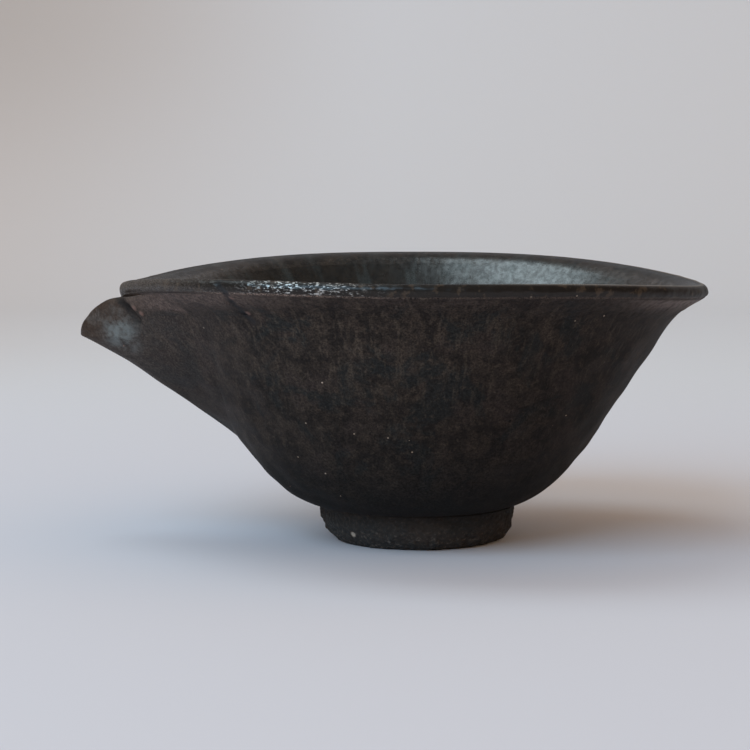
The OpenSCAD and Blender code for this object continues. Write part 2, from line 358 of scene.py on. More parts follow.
# one face of the wall: a cubic from its start round the belly, then straight to the neck
def outline(start, startDir, belly, neck, t):
    t = np.asarray(t)[..., None]
    before = belly - bowlForm["wallReach"]*unit(neck - belly)
    curve = bend3(start, start + bowlForm["baseReach"]*startDir, before, belly, np.minimum(t/tBelly, 1))
    return np.where(t < tBelly, curve, mix(belly, neck, (t - tBelly)/(1 - tBelly)))


def outer(t):  # the last stretch below the neck bends out into the lip
    way = math.radians(bowlForm["baseAngle"])
    p = outline(np.array([pot["footR"], pot["baseZ"]]), np.array([math.cos(way), math.sin(way)]),
                np.array([pot["bellyR"], pot["bellyZ"]]), neckOut, t)
    bent = np.clip((np.asarray(t) - pot["topFrom"])/(1 - pot["topFrom"]), 0, 1)**2
    return p + np.stack([pot["topBend"]*bent, 0*bent], -1)


def inner(t):  # the same on the inside, from the floor to the neck
    return outline(np.array([bowlForm["floorR"], pot["baseZ"] + bowlForm["floor"]]), np.array([1.0, 0.0]),
                   np.array([pot["bellyR"], pot["bellyZ"]]) - wallSpan, neckIn, t)


# where the keel starts on the outline, and half the cut's angle
tKeel = tBelly + (1 - tBelly)*(bowlForm["keelHigh"] - pot["bellyHigh"])/(pot["bowlHigh"] - pot["bellyHigh"])
cutHalf = math.asin(bowlForm["spoutWide"]/2/(pot["neckR"]*pot["ratio"]*(1 - pot["pinch"])))


def cutT(u):  # how high the wall goes under the spout: lowest at the keel, up to the neck at both sides
    return mix(tKeel, 1, np.abs(u)**bowlForm["cutPower"])


# how far the hand-made wall stands out from the true form: slow waves, a spiral throwing ripple, small dents and
# flat trimming marks near the foot
def handMade(p, a):
    f, z = bowlForm, p[..., 2] - pot["baseZ"]
    slow = f["slow"]*unevenness(p, f["slowSize"], 3)
    turns = 2*np.pi*p[..., 2]/f["ripplePitch"] - a
    ripple = f["ripple"]*np.cos(turns)*(0.6 + 0.4*unevenness(p, f["rippleSize"], 5))
    dents = f["dents"]*unevenness(p, f["dentSize"], 7)
    facets = f["facets"]*unevenness(p, f["facetSize"], 11, f["facetStretch"])
    facets = facets*(1 - rise(z, *f["facetEnd"]))*rise(z, 0, f["facetRise"])
    return slow + ripple + dents + facets


def wallPoint(t, a):  # the outer wall as it shows, unevenness and all
    p = place(outer(t), a)
    fade = rise(p[..., 2], pot["baseZ"], bowlForm["outBase"])*(1 - rise(t, *bowlForm["outTop"]))
    return place(outer(t), a, handMade(p, a)*fade)


def bowlColumns():  # the angles of the columns, closer together at the cut, and how far up each one goes
    u = np.linspace(-1, 1, 2*bowlForm["cutCols"] + 1)
    ring = np.linspace(np.pi + cutHalf, 3*np.pi - cutHalf, bowlForm["ringCols"] + 1)[1:-1]
    return np.concatenate([np.pi + cutHalf*u, ring]), np.concatenate([cutT(u), np.ones(len(ring))])


# each column runs from the middle of the underside out to the foot, up the outer wall, down the inner wall and back to
# the middle of the floor
def makeBowl(paint):
    f, (a, top) = bowlForm, bowlColumns()
    a = a[:, None]
    up = np.linspace(0, 1, f["outRows"])[None, :]*top[:, None]
    down = np.linspace(1, 0, f["inRows"])[None, :]*top[:, None]
    flat = np.linspace(f["poleShare"], 1, f["flatRows"])[None, :]*np.ones_like(a)
    floorZ = pot["baseZ"] + f["floor"]
    under = np.stack([flat*pot["footR"], np.full_like(flat, pot["baseZ"])], -1)[:, :-1]
    floor = np.stack([flat[:, ::-1]*f["floorR"], np.full_like(flat, floorZ)], -1)[:, 1:]
    ins = place(inner(down), a)
    fade = rise(ins[..., 2] - floorZ, *f["inBase"])*(1 - rise(down, *f["inTop"]))
    uneven = f["inShare"]*handMade(ins, a) + f["inDents"]*unevenness(ins, f["inSize"], 23)
    ins = place(inner(down), a, uneven*fade)
    grid = np.concatenate([place(under, a), wallPoint(up, a), ins, place(floor, a)], 1)
    inside = np.concatenate([np.zeros(under.shape[1] + up.shape[1]), np.ones(down.shape[1] + floor.shape[1])])
    bowl = skin("bowl_wall", grid, True, False, [0, 0, pot["baseZ"]], [0, 0, floorZ], {"inside": inside[None, :]})
    fit(bowl, "glaze", paint, "bowl")


# lip: a collar that bends out from the wall to a ledge, then a bead with its crest near the outside. First come the
# outline's points, then rows, unevenness, forms near the spout, and where the finish changes
lipForm = {
    "ledge": (78.75, 66.5), "under": (79.05, 66.6), "corner": (79.25, 66.95), "nose": (80.7, 67.8),
    "brow": (80.0, 70.3), "crest": (78.1, 70.2), "roll": (75.6, 70.1), "slope": (73.0, 68.7), "shoulder": (71.0, 66.8),
    "footReach": (1.25, 1.4), "ledgeReach": (2.72, 1.7),
    "cols": 720, "flareRows": 24, "stepRows": 4, "beadRows": 20, "rollRows": 20, "sideRows": 10,
    "slow": 0.16, "slowSize": 50, "dents": 0.09, "dentSize": 8, "pits": 0.05, "pitSize": 2.2, "inShare": 0.35,
    "lumpHigh": 0.3, "runDeep": 0.4, "runWide": 1.0, "ridge": 0.22, "ridgeAt": 63.5, "ridgeHigh": 0.5, "ridgeSize": 20,
    "endOut": 0.9, "endDrop": 0.8, "endPower": 60, "fill": 1.2, "fillAt": 66.2, "fillHigh": 2.0, "fillFade": 1.2,
    "fillPower": 14, "edgeAt": (79.1, 66.75), "edgeSize": 0.45, "crestAt": (78.4, 70.1), "crestSize": 0.6,
    "coveAt": (61.2, 4.6), "gloss": ((0.4, 78, 2), (0.6, 75, 2.5)),
}


def flare(s):  # the lip's underside: a cubic from the neck, 0, out to the ledge, 1
    ledge = np.array(lipForm["ledge"])
    s = np.asarray(s)[..., None]
    return bend3(lipFoot, lipFoot + lipForm["footReach"], ledge - lipForm["ledgeReach"], ledge, s)


# the lip's closed outline: the underside, a small step, the bead's outer face to the crest, its roll to the inside,
# and the way back down to the neck
def lipOutline():
    f = {k: np.array(v) for k, v in lipForm.items()}
    inFoot = neckIn + [0, pot["slip"]]
    def run(n, end=False):
        return np.linspace(0, 1, n, endpoint=end)[:, None]
    rows = [flare(run(f["flareRows"])[:, 0]), bend2(f["ledge"], f["under"], f["corner"], run(f["stepRows"])),
            bend3(f["corner"], f["nose"], f["brow"], f["crest"], run(f["beadRows"])),
            bend3(f["crest"], f["roll"], f["slope"], f["shoulder"], run(f["rollRows"])),
            mix(f["shoulder"], inFoot, run(f["sideRows"], True))]
    part = np.concatenate([np.full(len(r), float(i)) for i, r in enumerate(rows)])
    return np.vstack(rows), part


# every column is the outline, set out by slow waves, dents and pits that die out at the seam, by lumps and the groove
# of the run, by a faint ridge along the underside, and by a fuller end over the spout
def makeLip(paint):
    f, (p, part) = lipForm, lipOutline()
    r, z = p[:, 0], p[:, 1]
    outSide = part < 2.5  # underside, step and bead
    a = np.linspace(0, 2*np.pi, f["cols"], endpoint=False)[:, None]
    toSpout = np.maximum(0, -np.cos(a))
    spread = np.broadcast_to(p, (f["cols"], *p.shape))
    grid = place(spread, a)
    out = f["slow"]*unevenness(grid, f["slowSize"], 21) + f["dents"]*unevenness(grid, f["dentSize"], 23)
    out = out + f["pits"]*unevenness(grid, f["pitSize"], 25)
    out = out*rise(z, pot["seamZ"], 2)*np.where(outSide, 1, f["inShare"])
    out = out + f["lumpHigh"]*sum(hump(grid, point, lumpSize) for point in handMarks["lumps"])
    out = out - f["runDeep"]*grooves(grid, handMarks["run"], f["runWide"])
    end = toSpout**f["endPower"]*rise(z, pot["ledgeZ"] - 2, 2)  # the bead is thicker over the spout
    ridge = np.exp(-((z - f["ridgeAt"])/f["ridgeHigh"])**2)*(part == 0)
    ridge = ridge*(0.6 + 0.4*unevenness(grid, f["ridgeSize"], 27))
    # beside the spout the hollow under the bead is filled
    fill = toSpout**f["fillPower"]*np.exp(-((z - f["fillAt"])/f["fillHigh"])**2)*outSide
    fill = fill*(1 - rise(z, f["fillAt"], f["fillFade"]))
    grid = place(spread, a, out + f["endOut"]*end + f["ridge"]*ridge + f["fill"]*fill)
    grid[..., 2] -= f["endDrop"]*end*outSide*(1 - rise(z, pot["ledgeZ"], 3))
    def close(point, size):
        return np.exp(-((p - np.array(point))**2).sum(1)/size**2)[None, :]
    gloss = sum(share*ease((start - r)/over) for share, start, over in f["gloss"])
    marks = {"inside": ease(part - 2.5)[None, :], "gloss": (gloss*(part > 2.5))[None, :],
             "band": ((part == 2)*1.0)[None, :], "edge": close(f["edgeAt"], f["edgeSize"]),
             "crest": close(f["crestAt"], f["crestSize"]), "coveLight": (rise(z, *f["coveAt"])*(part < 1))[None, :]}
    fit(skin("lip_bead", grid, marks=marks), "lip_glaze", paint, "lip")


# spout: a beak that grows out of the wall. Each level section is a small circle at the keel, then a hollow curve that
# runs out along the wall
spoutForm = {
    "tip": (91.75, 55.9), "crown": (80.0, 66.7), "fall": (1.25, 0.5), "keelFrom": 0.53, "keelLeave": 0.05,
    "keelArrive": 0.218, "keelRise": 23.3, "open": (4.5, 8), "openAt": (60, 6), "openRise": 5, "round": (5.0, 9.5),
    "roundAt": (30, 30), "touch": 0.72, "arcShare": 0.45, "leaveMost": 1.4, "climb": 1.5, "calmAt": (56, 5),
    "low": 27.2, "top": 66.7, "levels": 160, "turnMost": 62, "turnSteps": 400, "keelSteps": 200, "cutSteps": 600,
    "farDrop": 1.2, "crownTurn": 8.5, "crownAt": 0.96, "crownU": 0.53, "edgeThick": 3.2, "edgeRound": 0.12,
    "edgeEnd": 0.08, "pull": 0.72, "keelLift": 1.8, "sideSwell": 1.6, "inSkirt": 0.3, "sink": 0.12, "cols": 301,
    "longRows": 140, "edgeRows": 9, "backRows": 5, "dents": 0.15, "dentSize": (9, 14), "creaseDeep": 1.2,
    "creaseWide": 1.3, "lumpHigh": 0.4, "inward": (0.6, 0.75, 0.2), "coveUp": (63.6, 2.2), "coveAlong": (-79.5, 4),
}


def rootOut(u):  # the cut's edge on the outer wall, from one side of the spout, -1, to the other, 1
    return place(outer(cutT(u)), np.pi + cutHalf*u)


def rootIn(u):  # the same on the inner wall
    return place(inner(cutT(u)), np.pi + cutHalf*u)


def mouthReach(z):  # how far the mouth's edge reaches: a rounded corner from the tip up to the crown under the lip
    f = spoutForm
    q = np.clip((z - f["tip"][1])/(f["crown"][1] - f["tip"][1]), 0, 1)
    return mix(f["crown"][0], f["tip"][0], (1 - q**f["fall"][0])**f["fall"][1])


# how far the keel reaches: a cubic that leaves along the wall, then on above the tip as if the keel were still there
def keelReach(z):
    f = spoutForm
    start, before = (place(outer(np.array([t])), np.array([np.pi]))[0] for t in (f["keelFrom"], f["keelFrom"] - 0.002))
    tip, slope = np.array([-f["tip"][0], 0, f["tip"][1]]), math.radians(f["keelRise"])
    far = np.linalg.norm(tip - start)
    first = start + f["keelLeave"]*far*unit(start - before)
    second = tip - f["keelArrive"]*far*np.array([-math.cos(slope), 0, math.sin(slope)])
    line = bend3(start, first, second, tip, np.linspace(0, 1, f["keelSteps"])[:, None])
    low = -np.interp(z, line[:, 2], line[:, 0])
    over = mix(*f["open"], rise(z, *f["openAt"]))*rise(z, tip[2], f["openRise"])
    return np.where(z < tip[2], low, mouthReach(z) + over)


# for each height: the keel circle's middle and radius, the angles where the hollow curve leaves the circle and touches
# the wall, and the touching point
def sections(side):
    f = spoutForm
    z = np.linspace(f["low"], f["top"], f["levels"])
    a = np.radians(np.linspace(0, f["turnMost"], f["turnSteps"]))
    p = np.vstack([outer(np.linspace(0, 1, 200)), flare(np.linspace(0.02, 1, 60))])
    p = np.stack([np.interp(z, p[:, 1], p[:, 0]), z], -1)
    ring = place(np.broadcast_to(p[:, None], (len(z), len(a), 2)), np.pi + side*a[None, :])
    along = np.gradient(ring[..., :2], axis=1)
    faces = np.arctan2(along[..., 0], -side*along[..., 1])
    rho = mix(*f["round"], rise(z, *f["roundAt"]))
    mid = keelReach(z) - rho
    off = -ring[..., 0]*np.cos(faces) - side*ring[..., 1]*np.sin(faces) - mid[:, None]*np.cos(faces) - rho[:, None]
    row, hull = np.arange(len(z)), np.maximum(np.argmax(off > 0, axis=1), 1)
    at = hull*f["touch"]
    low, share = at.astype(int), at % 1
    turn = np.pi + side*at*(a[1] - a[0])
    calm = rise(z, *f["calmAt"])
    uneven = handMade(place(p, turn), turn)*(1 - calm)
    touch = place(p, turn, uneven - f["sink"]*(1 + 2*calm))
    wallFace = mix(faces[row, low], faces[row, low + 1], share)
    leave = np.minimum(2*faces[row, hull] - wallFace, f["leaveMost"])
    return z, np.column_stack([mid, rho, leave, wallFace, touch])


# one side of the spout: w runs from the keel, 0, to the wall, 1; the height is the section's
def spoutSide(side, w, height, z, table):
    f = spoutForm
    mid, rho, leave, wallFace, x, y, top = (np.interp(height, z, column) for column in table.T)
    def onCircle(angle):
        return np.stack([-mid - rho*np.cos(angle), -side*rho*np.sin(angle)], -1)
    def along(angle):
        return np.stack([np.sin(angle), -side*np.cos(angle)], -1)
    def across(a, b):  # 0 where two flat ways are the same
        return a[..., 0]*b[..., 1] - a[..., 1]*b[..., 0]
    arc, edge = onCircle(leave*np.minimum(w/f["arcShare"], 1)), onCircle(leave)
    wayOut, wayIn, touch = along(leave), along(wallFace), np.stack([x, y], -1)
    reach = across(touch - edge, wayIn)/across(wayOut, wayIn)
    q = np.clip((w - f["arcShare"])/(1 - f["arcShare"]), 0, 1)
    curve = bend2(edge, edge + reach[..., None]*wayOut, touch, q[..., None])
    flat = np.where((w <= f["arcShare"])[..., None], arc, curve)
    return np.concatenate([flat, mix(height, top, q**f["climb"])[..., None]], -1)


def spoutOutside(u, v):  # each column stops where the mouth's edge cuts it, or under the lip
    f, half = spoutForm, u[u >= 0]
    faces = []
    for side in (-1, 1):
        z, table = sections(side)
        w, fine = half[:, None], np.linspace(f["tip"][1], f["top"], f["cutSteps"])[None, :]
        over = -spoutSide(side, w, fine + 0*w, z, table)[..., 0] >= mouthReach(fine)
        drop = f["farDrop"]*(side < 0)*ease(half/f["crownU"])
        cut = np.where(over.any(1), fine[0, np.argmax(over, axis=1)], f["top"]) - drop
        cut[0] = f["tip"][1]
        faces.append(spoutSide(side, w + 0*v, mix(f["low"], cut[:, None], v), z, table))
    face = np.concatenate([faces[0][:0:-1], faces[1]])
    loose = f["dents"]*np.sin(v*np.pi)*(1 - u[:, None]**8)
    face[..., 1] += loose*unevenness(face, f["dentSize"][0], 41)
    face[..., 2] += loose*unevenness(face, f["dentSize"][1], 43)
    lumps = sum(hump(face, p, lumpSize) for p in handMarks["lumps"])
    inward = f["creaseDeep"]*grooves(face, handMarks["crease"], f["creaseWide"]) - f["lumpHigh"]*lumps
    return face + inward[..., None]*np.array(f["inward"])


def mouthNormal(u):  # the way through the edge to the trough's inside
    up = unit(np.array([1, 0, 2]))
    side = np.stack([0*u, np.sign(u), 0*u], -1)
    return unit(mix(up, side, ease(np.abs(u)/spoutForm["crownU"])[..., None]))


# each column runs along the outside to the mouth, round its edge, back along the inside, a cubic, and through the wall
def spoutGrid():
    f = spoutForm
    u, v = np.linspace(-1, 1, f["cols"]), np.linspace(0, 1, f["longRows"])[None, :]
    outside = spoutOutside(u, v)
    b, v = outside[:, -1], v[..., None]
    # inside, the edge runs on under the lip to the corner of the cut
    k = np.clip((np.abs(u) - f["crownU"])/(1 - f["crownU"]), 0, 1)
    turn = np.sign(u)*mix(math.radians(f["crownTurn"]), cutHalf, k)
    under = place(flare(f["crownAt"]*(1 - k)), np.pi + turn)
    bIn = mix(b, under, ease(k*5)[:, None]) + f["edgeThick"]*mouthNormal(u)
    swell = np.stack([0*u, -2*f["sideSwell"]*u, f["keelLift"] + 0*u], -1)*(1 - u*u)[:, None]
    grow = 1 + f["inSkirt"]
    start, root = place(inner(1 - (1 - cutT(u))*grow), np.pi + cutHalf*u*grow, f["sink"]), rootIn(u)
    pull = mix(root, bIn, f["pull"]) + swell
    inside = bend3(start[:, None], root[:, None], pull[:, None], bIn[:, None], v)
    w = np.linspace(0, np.pi, f["edgeRows"] + 2)[1:-1][None, :, None]
    way = unit(outside[:, -1] - outside[:, -4])[:, None]
    free = (1 - rise(np.abs(u), f["crownU"] - f["edgeEnd"], f["edgeEnd"]))[:, None, None]
    edge = ((b + bIn)/2)[:, None] - ((bIn - b)/2)[:, None]*np.cos(w)
    edge = edge + way*f["edgeRound"]*f["edgeThick"]*np.sin(w)*free
    k = np.linspace(0, 1, f["backRows"] + 2)[1:-1][None, :, None]
    back = mix(inside[:, :1], outside[:, :1], k)
    return np.concatenate([outside, edge, inside[:, ::-1], back], 1)


def makeSpout(paint):
    grid = spoutGrid()
    rows, n = grid.shape[1], spoutForm["longRows"]
    inside, mouth = np.zeros(rows), np.zeros(rows)
    inside[n + spoutForm["edgeRows"]:] = 1
    mouth[:n] = np.linspace(0, 1, n)
    mouth[n:n + spoutForm["edgeRows"]] = 1
    coveLight = rise(grid[..., 2], *spoutForm["coveUp"])*rise(grid[..., 0], *spoutForm["coveAlong"])
    marks = {"inside": inside[None, :], "mouth": mouth[None, :], "coveLight": coveLight}
    fit(skin("spout_beak", grid, False, True, marks=marks), "glaze", paint, "spout")


# foot: a turned ring with a rounded lower edge, cut by hand and left rough, standing a little off the pot's middle
footForm = {
    "restR": 21.4, "restIn": 18.6, "recessR": 18, "turnHigh": 8.4, "cols": 640, "wallRows": 8, "turnRows": 40,
    "flatRows": 8, "inRows": 14, "topRows": 8, "grain": 0.1, "grainSize": 1.6, "lumps": 0.32, "lumpSize": 3.4,
    "lumpFrom": 0.3, "dents": 0.18, "dentSize": 9, "aside": 0.5, "cutLeft": 0.7, "edgeFade": 1.2, "lowEnd": (3, 4),
}


# the outline runs down the outer wall, a quarter ellipse to the rest, in along it, up the recess and back along the
# top; dents, grain and lumps set the outer face out, and the left side is cut away
def makeFoot(paint):
    f = footForm
    def run(n):
        return np.linspace(0, 1, n, endpoint=False)[:, None]
    way = run(f["turnRows"])*np.pi/2
    turn = np.hstack([f["restR"] + (pot["footR"] - f["restR"])*np.cos(way), f["turnHigh"]*(1 - np.sin(way))])
    top, low = np.array([pot["footR"], pot["footHigh"]]), np.array([pot["footR"], f["turnHigh"]])
    rest, restIn = np.array([f["restR"], 0]), np.array([f["restIn"], 0])
    recess = np.array([f["recessR"], pot["footHigh"]])
    p = np.vstack([mix(top, low, run(f["wallRows"])), turn, mix(rest, restIn, run(f["flatRows"])),
                   mix(restIn, recess, run(f["inRows"])), mix(recess, top, run(f["topRows"]))])
    a = np.linspace(0, 2*np.pi, f["cols"], endpoint=False)[:, None]
    ring = np.stack([p[:, 0]*np.cos(a), p[:, 0]*np.sin(a), np.broadcast_to(p[:, 1], (f["cols"], len(p)))], -1)
    face = rise(p[:, 0], f["restR"], f["edgeFade"])
    loose = face*(1 - rise(p[:, 1], pot["footHigh"] - f["edgeFade"], f["edgeFade"]))
    lowHalf = 1 - rise(p[:, 1], *f["lowEnd"])
    lumps = np.maximum(0, unevenness(ring, f["lumpSize"], 35) - f["lumpFrom"])*f["lumps"]*lowHalf
    out = f["dents"]*unevenness(ring, f["dentSize"], 31) + f["grain"]*unevenness(ring, f["grainSize"], 33)
    out = (out + lumps)*loose
    out = out - f["cutLeft"]*np.maximum(0, -np.cos(a))*face*lowHalf
    ring[..., 0] += out*np.cos(a) + f["aside"]*face
    ring[..., 1] += out*np.sin(a)
    fit(skin("foot_ring_turned", ring), "foot_clay", paint, "foot_ring")


# seams: thin bands of slip between wall and lip, wall and spout, bowl and foot
seamForm = {"cols": 420, "rows": 6, "hide": 0.15, "inHide": 0.03, "margin": 0.08, "lean": (-0.3, 0.4)}


def band(corners, n):  # a closed loop of straight runs through four corners
    runs = [mix(corners[i], corners[(i + 1) % 4], np.linspace(0, 1, n, endpoint=False)[:, None]) for i in range(4)]
    return np.vstack(runs)


# each seam is a thin closed band, carried round the neck, along the cut's edge and round the foot
def makeSeams(paint, clayPaint):
    f, n = seamForm, seamForm["rows"]
    tuck, inTuck = np.array([f["hide"], 0]), np.array([f["inHide"], 0])
    inTop = neckIn + [0, pot["slip"]]
    a = np.linspace(np.pi + cutHalf, 3*np.pi - cutHalf, f["cols"])[:, None]
    lipBand = band([neckTop, lipFoot, inTop + inTuck, neckIn + inTuck], n)
    row = np.arange(4*n)
    inside = ((row >= 2*n)*(row <= 3*n)*1.0)[None, :]  # the inner side is glazed over
    lipSeam = skin("lip_slip_seam_band", place(np.broadcast_to(lipBand, (len(a), *lipBand.shape)), a), False, True,
                   marks={"inside": inside})
    fit(lipSeam, "slip", paint, "lip_slip_seam")
    u = np.linspace(-1, 1, f["cols"]//3)
    step = pot["slip"]*unit(np.stack([-1 + 0*u, f["lean"][0]*u, f["lean"][1] + 0*u], -1))
    outs, ins = (mix(rootOut(u), rootIn(u), share) for share in (f["margin"], 1 - f["margin"]))
    loop = np.stack([outs, outs + step, ins + step, ins], 1)
    spoutSeam = skin("spout_slip_seam_band", loop, False, True)
    fit(spoutSeam, "slip", paint, "spout_slip_seam")
    footTop, bowlFoot = np.array([pot["footR"], pot["footHigh"]]), np.array([pot["footR"], pot["baseZ"]])
    footBand = band([footTop - tuck, bowlFoot - tuck, np.array([footForm["recessR"], pot["baseZ"]]),
                     np.array([footForm["recessR"], pot["footHigh"]])], n)
    a = np.linspace(0, 2*np.pi, f["cols"], endpoint=False)[:, None]
    ring = np.stack([footBand[:, 0]*np.cos(a), footBand[:, 0]*np.sin(a),
                     np.broadcast_to(footBand[:, 1], (len(a), len(footBand)))], -1)
    fit(skin("foot_slip_seam_band", ring), "slip", clayPaint, "foot_slip_seam")


# finishes: an iron-black glaze, matt outside and wet inside
glazeLook = {
    "dark": tone(33, 30, 29), "brown": tone(53, 47, 43), "tan": tone(74, 67, 60), "blueGrey": tone(33, 36, 37),
    "mauve": tone(53, 47, 45), "low": tone(31, 32, 32), "paintedSheen": tone(104, 92, 90), "speck": tone(190, 175, 160),
    "pink": tone(150, 118, 106), "coveLight": tone(108, 95, 90), "beside": tone(64, 58, 56), "inBrown": tone(29, 26, 23),
    "inGrey": tone(21, 21, 21), "insideShade": (0.01, 0.01, 0.01), "teal": tone(46, 58, 61), "white": tone(118, 128, 130),
    "whiteAt": (-79.5, -12.5, 57.2), "spoutGrey": tone(82, 77, 73), "spoutBrown": tone(56, 45, 38), "strokeR": 58,
    "strokeLong": 0.3, "specular": 0.08, "coatRough": 0.27, "coatIor": 2.1,
}


# the layers that all glazed pieces share, laid one over the other: patches, strokes that run down the wall, tones by
# place with painted light and shade among them, the inside, grain, a painted sheen and specks
def glazeLayers(paint):
    g, at = glazeLook, paint.place()
    x, y, z = paint.split(at)
    r = (x*x + y*y + 1)**0.5
    strokeAt = paint.join(x/r*g["strokeR"], y/r*g["strokeR"], z*g["strokeLong"])
    cloud = paint.noise(at, 0.07, 4.0, 0.65, 0.6)
    patch = paint.noise(at, 0.16, 5.0, 0.7)
    strokes = paint.noise(strokeAt, 0.6, 2.0, 0.6, 0.4)
    mottle = paint.noise(at, 0.6, 4.0, 0.7)
    grain = paint.noise(at, 1.8, 4.0, 0.75)
    fine = paint.noise(at, 3.6, 1.0)
    inside = paint.mark("inside")
    colour = paint.blend(patch.span(0.4, 0.62), g["dark"], g["brown"])
    colour = paint.blend(paint.noise(at, 0.09, 3.0).span(0.5, 0.68)*0.8, colour, g["mauve"])
    colour = paint.blend(cloud.span(0.5, 0.62)*0.85, colour, g["blueGrey"])
    colour = paint.blend(mottle.span(0.5, 0.68)*0.4, colour, g["tan"])
    colour = paint.blend((1 - mottle.span(0.34, 0.46))*0.55, colour, g["dark"])
    colour = paint.blend(strokes.span(0.5, 0.7)*(0.15 + z.span(35, 58)*0.3), colour, g["tan"])
    colour = paint.blend((1 - z.span(12, 36))*0.75, colour, g["low"])
    # beside the spout the wall is painted lighter: painted light from the left
    colour = paint.blend((1 - x.span(-68, -38))*0.4, colour, g["beside"])
    # under the bead a pale tone is painted in the hollow, at the left and at the right: painted bounce light
    left = 1 - (x + mottle*30).span(-25, 15)
    coveLeft = 1 - (x + mottle*30).span(-38, -6)
    coveLight = paint.mark("coveLight")*(0.08 + coveLeft*0.5 + x.span(50, 78)*0.4)
    colour = paint.blend(coveLight*(0.4 + mottle.span(0.35, 0.6)*0.6), colour, g["coveLight"])
    # the spout is greyer, and brown towards its mouth
    beak = 1 - x.span(-86, -64)
    colour = paint.blend(beak*(0.3 + mottle.span(0.4, 0.6)*0.5), colour, g["spoutGrey"])
    brown = paint.mark("mouth").span(0.7, 0.95)*beak*patch.span(0.35, 0.5)*0.8
    colour = paint.blend(brown, colour, g["spoutBrown"])
    # the inside is darker, with teal runs, and painted shade on its left
    runs = paint.noise(strokeAt, 0.13, 3.0, 0.6).span(0.54, 0.68)*0.55
    inColour = paint.blend(patch.span(0.42, 0.6), g["inGrey"], g["inBrown"])
    colour = paint.blend(inside, colour, paint.blend(runs, inColour, g["teal"]))
    colour = paint.blend(inside*(1 - x.span(-72, -35))*0.5, colour, g["insideShade"])
    # grain breaks all tones up, and the outside gets painted shade, darker to the right and below
    depth = 0.4 + grain.span(0.28, 0.72)*1.2
    colour = paint.blend((1 - inside*0.6)*(1 - beak*0.5), colour, depth, "MULTIPLY")
    paintedShade = (1 - x.span(-15, 60)*0.42)*(0.86 + z.span(38, 62)*0.34)
    colour = paint.blend(1 - inside, colour, paintedShade, "MULTIPLY")
    # a painted sheen: the glaze is paler where the surface turns away from the view
    facing = paint.node("ShaderNodeLayerWeight", None, {"Blend": 0.35}, 1)
    colour = paint.blend(facing**3*(1 - inside)*0.12, colour, g["paintedSheen"])
    spot, kind = paint.specks(at, 0.22, 0.26, 0.4)
    colour = paint.blend(spot*(1 - inside)*0.85, colour, paint.blend(kind.span(0.6, 0.62), g["speck"], g["pink"]))
    height = (strokes*0.5 + grain*0.9 + spot*0.8)*(1 - inside*0.8)
    rough = 0.6 + (grain - 0.5)*0.3 - inside*0.3 + (1 - z.span(12, 30))*0.2
    wet = 0.4 + mottle.span(0.3, 0.7)*0.5
    return {"at": at, "x": x, "y": y, "z": z, "inside": inside, "fine": fine, "mottle": mottle, "left": left,
            "wet": wet, "colour": colour, "height": height, "rough": rough}


# how the hand marks are coloured: full within the first distance, gone beyond the second, by a share, in a tone
lineLook = {
    # the crease is painted dark: painted shade in its groove
    "run": (0.2, 1.6, 0.7, tone(36, 38, 42)), "crease": (0.4, 2.0, 0.8, tone(26, 26, 28)),
    "scratch": (0.03, 0.22, 0.5, tone(18, 16, 16)),
}
spotLook = {
    # the lumps are painted pale: a painted highlight on their raised tops
    "lumps": (0.2, 1.2, 0.55, tone(138, 112, 104)), "specks": (0.05, 0.3, 0.7, tone(190, 176, 160)),
    "pit": (0.2, 0.6, 0.8, tone(12, 11, 11)),
}


# lays the hand marks over a colour: lines first, then spots
def addMarks(paint, at, colour):
    for name, (low, high, share, shown) in lineLook.items():
        for start, end in zip(handMarks[name], handMarks[name][1:]):
            colour = paint.blend(paint.line(at, start, end, low, high)*share, colour, shown)
    for name, (low, high, share, shown) in spotLook.items():
        for point in handMarks[name]:
            colour = paint.blend(paint.near(at, point, low, high)*share, colour, shown)
    return colour


def glazePaint(name):  # the shared layers, and a white cloud on the spout
    g, paint = glazeLook, Paint(name)
    layers = glazeLayers(paint)
    at = layers["at"]
    white = paint.near(at, g["whiteAt"], 1, 9)*paint.noise(at, 0.3, 4.0, 0.65).span(0.32, 0.68)
    colour = addMarks(paint, at, paint.blend(white*0.8, layers["colour"], g["white"]))
    bump = paint.bump(layers["height"], 0.1, 0.8)
    return paint.finish(Base_Color=colour, Roughness=layers["rough"], Normal=bump, Specular_IOR_Level=g["specular"],
                        Coat_Weight=layers["inside"]*layers["wet"], Coat_Roughness=g["coatRough"],
                        Coat_IOR=g["coatIor"])


lipLook = {
    "brown": tone(29, 25, 22), "rust": tone(60, 51, 42), "coveLight": tone(136, 125, 122), "end": tone(118, 110, 104),
    "fleck": tone(82, 77, 73), "paintedHighlight": tone(225, 226, 224), "joint": tone(50, 40, 37), "wearAndHighlight": tone(178, 158, 148),
    "crest": tone(150, 146, 140),
}


